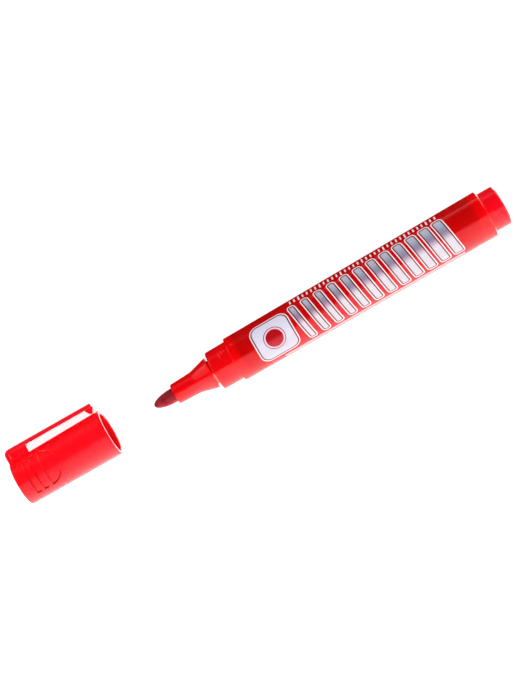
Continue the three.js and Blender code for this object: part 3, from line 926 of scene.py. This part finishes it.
# Print of the film: a plain panel with a colour dot, a row of slanted bars, tick scale and pinstripes
PRINT_TURN = math.radians(3.0)  # middle of the print, from the camera's side
PANEL_CENTRE = 85.8
PANEL_HALF = (6.4, 6.3)
PANEL_ROUND = 2.6
DOT_RADIUS = 3.0
RING_GAP = 0.5
RING_WIDTH = 0.3
BARS_FROM = 77.9
BARS_TO = 18.5
BAR_PITCH = 4.95
BAR_HALF_HEIGHT = 6.6
BAR_HALF_WIDTHS = (0.72, 1.32)  # from the panel to the far end
BAR_SLANT = 0.16
BAR_ROUND = 0.5
LINE_WIDTH = 0.36  # white outline
LINE_GAP = 0.44  # deeper red between an outline and what it surrounds
SCALE_ROW = 9.2  # middle of the tick scale, across
SCALE_RANGE = (20.8, 76.8)
TICK_PITCH = 1.6
TICK_HALF_WIDTH = 0.27
TICK_HALF_LENGTHS = (1.0, 1.35)  # of a tick, and of every fifth one
LONG_TICK = 5
STRIPE_ROW = 8.6
STRIPE_GAP = 0.75
STRIPE_HALF_WIDTH = 0.14
FILM_LIGHT = (0.52, 0.0003, 0.001, 1)
FILM_DEEP = (0.48, 0.0002, 0.0008, 1)
GAP_RED = (0.17, 0.0005, 0.006, 1)
DOT_RED = (0.4, 0.003, 0.008, 1)
# painted reflection on the silver panel, changing from the clip's side to the far side
PANEL_REFLECTION_TOP = (0.655, 0.63, 0.76, 1)
PANEL_REFLECTION_LOW = (0.54, 0.51, 0.57, 1)
PANEL_BLEND = (-1.0, 4.0)
WHITE = (0.8, 0.77, 0.8, 1)
PRINT_GLOSS = (0.2, 0.2, 0.23, 1)
PRINT_LIFT = 0.4
SILVER_HALF = 6.2  # the silver's painted reflection runs over this half height
SILVER_REFLECTION = (
    (0.0, (0.42, 0.43, 0.52, 1)),
    (0.14, (0.235, 0.28, 0.375, 1)),
    (0.24, (0.25, 0.21, 0.3, 1)),
    (0.3, (0.28, 0.215, 0.32, 1)),
    (0.37, (0.38, 0.29, 0.39, 1)),
    (0.45, (0.49, 0.415, 0.495, 1)),
    (0.53, (0.59, 0.52, 0.575, 1)),
    (0.62, (0.6, 0.57, 0.62, 1)),
    (0.8, (0.55, 0.54, 0.58, 1)),
    (1.0, (0.53, 0.49, 0.52, 1)),
)


def bar_distance(graph, x, across):
    """Distance to the nearest slanted bar, and the share of the row that holds bars."""
    slanted = graph.math("ADD", x, graph.math("MULTIPLY", across, BAR_SLANT))
    along = graph.math("SUBTRACT", BARS_FROM, slanted)
    cell = graph.math("FLOOR", graph.math("DIVIDE", along, BAR_PITCH))
    bar_x = graph.math("SUBTRACT", along, graph.math("MULTIPLY", graph.math("ADD", cell, 0.5), BAR_PITCH))
    count = round((BARS_FROM - BARS_TO) / BAR_PITCH)
    low, high = BAR_HALF_WIDTHS
    half_width = graph.math("ADD", low, graph.math("MULTIPLY", cell, (high - low) / (count - 1)))
    bar = rounded_box(graph, bar_x, across, half_width, BAR_HALF_HEIGHT, BAR_ROUND)
    return bar, within(graph, along, 0.0, count * BAR_PITCH)


def tick_scale(graph, x, across):
    tick_x = graph.math("SUBTRACT", graph.math("FRACT", graph.math("DIVIDE", x, TICK_PITCH)), 0.5)
    tick = within(graph, graph.math("MULTIPLY", tick_x, TICK_PITCH), -TICK_HALF_WIDTH, TICK_HALF_WIDTH)
    in_group = graph.math("FRACT", graph.math("DIVIDE", x, LONG_TICK * TICK_PITCH))
    is_long = graph.math("LESS_THAN", in_group, 1 / LONG_TICK)
    short, long = TICK_HALF_LENGTHS
    reach = graph.math("MULTIPLY_ADD", is_long, long - short, short)
    from_row = graph.math("ABSOLUTE", graph.math("ADD", across, SCALE_ROW))
    mark = graph.math("MULTIPLY", tick, filled(graph, graph.math("SUBTRACT", from_row, reach)))
    return graph.math("MULTIPLY", mark, within(graph, x, *SCALE_RANGE))


def pinstripes(graph, x, across):
    stripes = graph.highest(*(
        within(graph, across, row - STRIPE_HALF_WIDTH, row + STRIPE_HALF_WIDTH)
        for row in (STRIPE_ROW, STRIPE_ROW + STRIPE_GAP)
    ))
    return graph.math("MULTIPLY", stripes, within(graph, x, BARS_TO, PANEL_CENTRE))


def painted_silver_reflection(graph, across):
    """Painted reflection on polished silver: bright at both edges of the print, with a dark horizon above its middle.
    """
    fade = graph.node("ShaderNodeValToRGB", {0: graph.smooth(across, -SILVER_HALF, SILVER_HALF)})
    stops = fade.color_ramp.elements
    for stop, (position, colour) in zip(stops, (SILVER_REFLECTION[0], SILVER_REFLECTION[-1])):
        stop.position, stop.color = position, colour
    for position, colour in SILVER_REFLECTION[1:-1]:
        stops.new(position).color = colour
    return fade.outputs[0]


def printed_film():
    """Glossy deep red film with a silver and white print on both sides."""
    made, graph, at = material("printed_film")
    x = from_plug(graph, at)
    half_turn = graph.math("WRAP", graph.math("SUBTRACT", graph.turn(at), PRINT_TURN), math.pi / 2, -math.pi / 2)
    across = graph.math("MULTIPLY", half_turn, (BARREL_REAR_R + BARREL_FRONT_R) / 2)

    panel_x = graph.math("SUBTRACT", x, PANEL_CENTRE)
    panel = rounded_box(graph, panel_x, across, *PANEL_HALF, PANEL_ROUND)
    plate = filled(graph, panel)
    from_dot = graph.length(panel_x, across)
    dot = filled(graph, graph.math("SUBTRACT", from_dot, DOT_RADIUS))
    ring = line(graph, from_dot, DOT_RADIUS + RING_GAP, RING_WIDTH)

    bar, in_row = bar_distance(graph, x, across)
    silver = graph.math("MULTIPLY", filled(graph, bar), in_row)
    gaps = graph.highest(
        graph.math("MULTIPLY", line(graph, bar, 0.0, LINE_GAP), in_row),
        line(graph, panel, 0.0, LINE_GAP),
    )
    white = graph.highest(
        graph.math("MULTIPLY", line(graph, bar, LINE_GAP, LINE_WIDTH), in_row),
        line(graph, panel, LINE_GAP, LINE_WIDTH),
        tick_scale(graph, x, across),
        pinstripes(graph, x, across),
    )

    cloud = graph.noise(at, scale=120, detail=3)
    film = graph.mix(graph.smooth(cloud, 0.3, 0.7), FILM_LIGHT, FILM_DEEP)
    film = graph.mix(film_share(graph, x), BARREL_RED, film)
    tone = graph.mix(gaps, film, GAP_RED)
    # painted reflection on the silver bars
    tone = graph.mix(silver, tone, painted_silver_reflection(graph, across))
    # painted reflection on the silver panel
    tone = graph.mix(plate, tone, graph.mix(graph.smooth(across, *PANEL_BLEND), PANEL_REFLECTION_TOP, PANEL_REFLECTION_LOW))
    tone = graph.mix(graph.highest(dot, ring), tone, DOT_RED)
    tone = graph.mix(white, tone, WHITE)
    printed = graph.highest(silver, white, plate)
    waves = graph.noise(at, scale=300, detail=2)
    height = graph.math("ADD", waves, graph.math("MULTIPLY", printed, PRINT_LIFT))
    roughness = graph.smooth(graph.noise(at, scale=500, detail=3), 0.3, 0.7, 0.16, 0.24)
    gloss = graph.mix(printed, RED_GLOSS, PRINT_GLOSS)
    shade(graph, tone, roughness, (height, 0.00001, 0.25), Specular_Tint=gloss, Specular_IOR_Level=GLOSS_LEVEL)
    return made


def natural_plastic():
    """Uncoloured plastic of the inner seal, slightly stained by the ink."""
    made, graph, at = material("natural_plastic")
    clean, stained = (0.82, 0.79, 0.74, 1), (0.8, 0.3, 0.28, 1)
    stain = graph.noise(at, scale=180, detail=4, rough=0.6)
    tone = graph.mix(graph.smooth(stain, 0.45, 0.75, 0.0, 0.5), clean, stained)
    roughness = graph.smooth(stain, 0.3, 0.7, 0.35, 0.5)
    shade(graph, tone, roughness, (graph.noise(at, scale=1800), 0.00001, 0.3), IOR=1.5)
    return made


def clear_film():
    """Clear film round the reservoir, tinted here and there by the ink behind it."""
    made, graph, at = material("clear_film")
    clear, tinted = (0.9, 0.88, 0.86, 1), (0.8, 0.62, 0.6, 1)
    tone = graph.mix(graph.smooth(graph.noise(at, scale=200), 0.4, 0.7), clear, tinted)
    shade(graph, tone, graph.smooth(graph.noise(at, scale=400), 0.3, 0.7, 0.15, 0.3), Alpha=0.4)
    return made


# Studio

# Soft light: where it starts, from the camera's direction round the axis, and its strength against the angle round
# the axis, in degrees
BRIGHT_EDGE = math.radians(9)
BRIGHT_LEVELS = ((10, 17.5), (45, 20.0), (76, 14.8), (95, 8.2), (119, 4.2), (135, 2.6))
EDGE_SOFT = 0.03  # half width of the light's edge
# The rays that the cap reflects, from their share along X, find the edge further round and softer
CAP_RAYS_FROM = (0.13, 0.15)
CAP_RAYS_TO = (0.35, 0.4)
CAP_EDGE_SHIFT = math.radians(1)
CAP_EDGE_SOFT = 0.2
# Strip light: its angle, its half width and its strength against the reflected ray's share along X
STREAK_TURNS = ((-0.05, -86), (0.0, -80), (0.125, -80), (0.148, -66), (0.3, -66), (0.5, -56))
STREAK_WIDTHS = ((0.125, 9), (0.148, 17), (0.3, 17), (0.5, 46))
STREAK_LEVELS = (
    (-0.08, 3.0), (-0.062, 3.0), (-0.052, 9.0), (0.0, 4.0), (0.03, 0.8), (0.055, 0.0), (0.108, 0.2), (0.118, 4.5),
    (0.135, 3.3), (0.155, 2.8), (0.2, 2.8), (0.24, 1.3), (0.35, 1.4), (0.44, 7.5),
)
STREAK_CORE = 0.6  # share of the half width that is full
# Bright surfaces beyond the rear end, which rims that face it reflect
RIM_TURNS = (math.radians(150), math.radians(165))
RIM_RAYS = (-0.091, -0.084)
RIM_LEVEL = 2.0
END_RAYS = (-0.42, -0.1)
END_LEVEL = 10.0
# Light that the matt share of the finishes receives, and how much it slants to the bright side
FILL = 1.24
FILL_SLANT = 0.52

FLOOR_HALF = 3000
FLOOR_TONES = ((0.26, 0.26, 0.26, 1), (0.29, 0.29, 0.29, 1))
FLOOR_GLOW = 0.86


def make_world():
    """A large soft light overhead and behind, a dark side towards the clip with one thin strip light, pale fill."""
    world = bpy.data.worlds.new("studio")
    bpy.context.scene.world = world
    world.use_nodes = True
    world.cycles.sampling_method = "NONE"  # each path then sees the world that is meant for it
    graph = Graph(world.node_tree)
    to = graph.node("ShaderNodeTexCoord").outputs["Generated"]
    turn = graph.turn(to)
    degrees = graph.math("DEGREES", turn)
    along = graph.dot(to, (1, 0, 0))

    at_cap = graph.math("MULTIPLY", graph.smooth(along, *CAP_RAYS_FROM), graph.smooth(along, *CAP_RAYS_TO, 1.0, 0.0))
    edge = graph.math("MULTIPLY_ADD", at_cap, CAP_EDGE_SHIFT, BRIGHT_EDGE)
    soft = graph.math("MULTIPLY_ADD", at_cap, CAP_EDGE_SOFT, EDGE_SOFT)
    past_edge = graph.smooth(graph.math("DIVIDE", graph.math("SUBTRACT", turn, edge), soft), -1.0, 1.0)
    bright = graph.math("MULTIPLY", past_edge, graph.curve(degrees, BRIGHT_LEVELS))

    off_streak = graph.math("ABSOLUTE", graph.math("SUBTRACT", degrees, graph.curve(along, STREAK_TURNS)))
    in_streak = graph.math("DIVIDE", off_streak, graph.curve(along, STREAK_WIDTHS))
    glow = graph.curve(along, STREAK_LEVELS)
    streak = graph.math("MULTIPLY", graph.smooth(in_streak, STREAK_CORE, 1.0, 1.0, 0.0), glow)

    below = graph.smooth(graph.math("ABSOLUTE", turn), *RIM_TURNS)
    rim = graph.math("MULTIPLY", below, graph.smooth(along, *RIM_RAYS, RIM_LEVEL, 0.0))
    ends = graph.smooth(along, *END_RAYS, END_LEVEL, 0.0)
    seen_in_gloss = graph.highest(graph.math("ADD", bright, streak), rim, ends)
    fill = graph.math("MULTIPLY_ADD", graph.dot(to, AWAY), FILL_SLANT, FILL)

    path = graph.node("ShaderNodeLightPath")
    strength = graph.node("ShaderNodeMix", data_type="FLOAT")
    for key, value in ((0, path.outputs["Is Glossy Ray"]), (2, fill), (3, seen_in_gloss)):
        graph.feed(strength.inputs[key], value)
    back = graph.node("ShaderNodeBackground", {"Color": (1, 1, 1, 1), "Strength": strength.outputs[0]})
    out = graph.node("ShaderNodeOutputWorld")
    graph.feed(out.inputs["Surface"], back.outputs[0])


def floor_material():
    """A pale matt floor, bright enough to come out white."""
    made, graph, at = material("pale_floor")
    grain = graph.noise(at, scale=900, detail=4, rough=0.6)
    tone = graph.mix(graph.smooth(grain, 0.3, 0.7), *FLOOR_TONES)
    shade(graph, tone, 0.8, (grain, 0.00002, 0.2), Emission_Color=(1, 1, 1, 1), Emission_Strength=FLOOR_GLOW)
    return made


def make_floor():
    half = FLOOR_HALF
    corners = [(-half, -half, FLOOR), (half, -half, FLOOR), (half, half, FLOOR), (-half, half, FLOOR)]
    floor = piece("floor", corners, [(0, 1, 2, 3)])
    floor.data.materials.append(floor_material())
    floor.visible_glossy = False
    floor.visible_diffuse = False


def make_camera():
    ahead = -math.cos(AXIS_TILT) * TO_CAMERA + math.sin(AXIS_TILT) * Vector((1, 0, 0))
    up = -AWAY
    right = ahead.cross(up)
    picture_right = math.cos(ROLL) * right - math.sin(ROLL) * up
    picture_up = math.sin(ROLL) * right + math.cos(ROLL) * up
    data = bpy.data.cameras.new("camera")
    data.sensor_width = SENSOR
    data.lens = FOCAL_PIXELS * SENSOR / FRAME_LONG_SIDE
    data.clip_start, data.clip_end = 0.01, 20
    camera = bpy.data.objects.new("camera", data)
    bpy.context.scene.collection.objects.link(camera)
    aim = (Vector((AIM_X, 0, 0)) + AIM_OFF_AXIS * up) * MM
    placed = Matrix((picture_right, picture_up, -ahead)).transposed().to_4x4()
    placed.translation = aim - ahead * DISTANCE * MM
    camera.matrix_world = placed
    bpy.context.scene.camera = camera


# Assembly

red_cap = moulded_plastic(
    "red_plastic_cap", cap_marks,
    light=(0.99, 0.0008, 0.008, 1), deep=(0.95, 0.0006, 0.007, 1), rough=(0.23, 0.3), level=SATIN_LEVEL,
)
red_plug = moulded_plastic(
    "red_plastic_plug", plug_marks,
    light=(0.84, 0.0004, 0.009, 1), deep=(0.8, 0.0003, 0.008, 1), rough=(0.18, 0.25), level=PLUG_LEVEL,
)
red_nozzle = moulded_plastic(
    "red_plastic_nozzle", collar_marks,
    light=(0.74, 0.0006, 0.003, 1), deep=(0.71, 0.0005, 0.002, 1), rough=(0.13, 0.2),
)
red_barrel = moulded_plastic(
    "red_plastic_barrel", barrel_marks,
    light=BARREL_RED, deep=(0.73, 0.0003, 0.001, 1), rough=(0.13, 0.2),
)
nib_fibre = fibre("nib_fibre", light=(0.3, 0.014, 0.022, 1), dark=(0.11, 0.005, 0.01, 1), along=0.25)
reservoir_fibre = fibre("reservoir_fibre", light=(0.5, 0.05, 0.05, 1), dark=(0.25, 0.015, 0.02, 1), along=0.1)


def dress(obj, node, body, finish):
    """Puts a piece in a node's place, with its body and finish."""
    obj.data.materials.clear()
    obj.data.materials.append(finish)
    even_shading(obj)
    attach(obj, body)
    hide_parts(node)


make_camera()
make_world()
make_floor()

dress(make_barrel(), "barrel", "marker", red_barrel)
dress(make_film(), "label_film", "marker", printed_film())
dress(make_plug(), "rear_plug", "marker", red_plug)
dress(make_nozzle(), "nozzle", "marker", red_nozzle)
dress(make_nib(), "nib", "marker", nib_fibre)
dress(make_cap(), "cap_shell", "cap", red_cap)
dress(make_seal(), "cap_inner_seal", "cap", natural_plastic())

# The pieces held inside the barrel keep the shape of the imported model
for node, finish in (("ink_reservoir", reservoir_fibre), ("reservoir_film", clear_film())):
    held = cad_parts[node]
    held.data.materials.clear()
    held.data.materials.append(finish)

bpy.context.scene.view_settings.view_transform = "Standard"
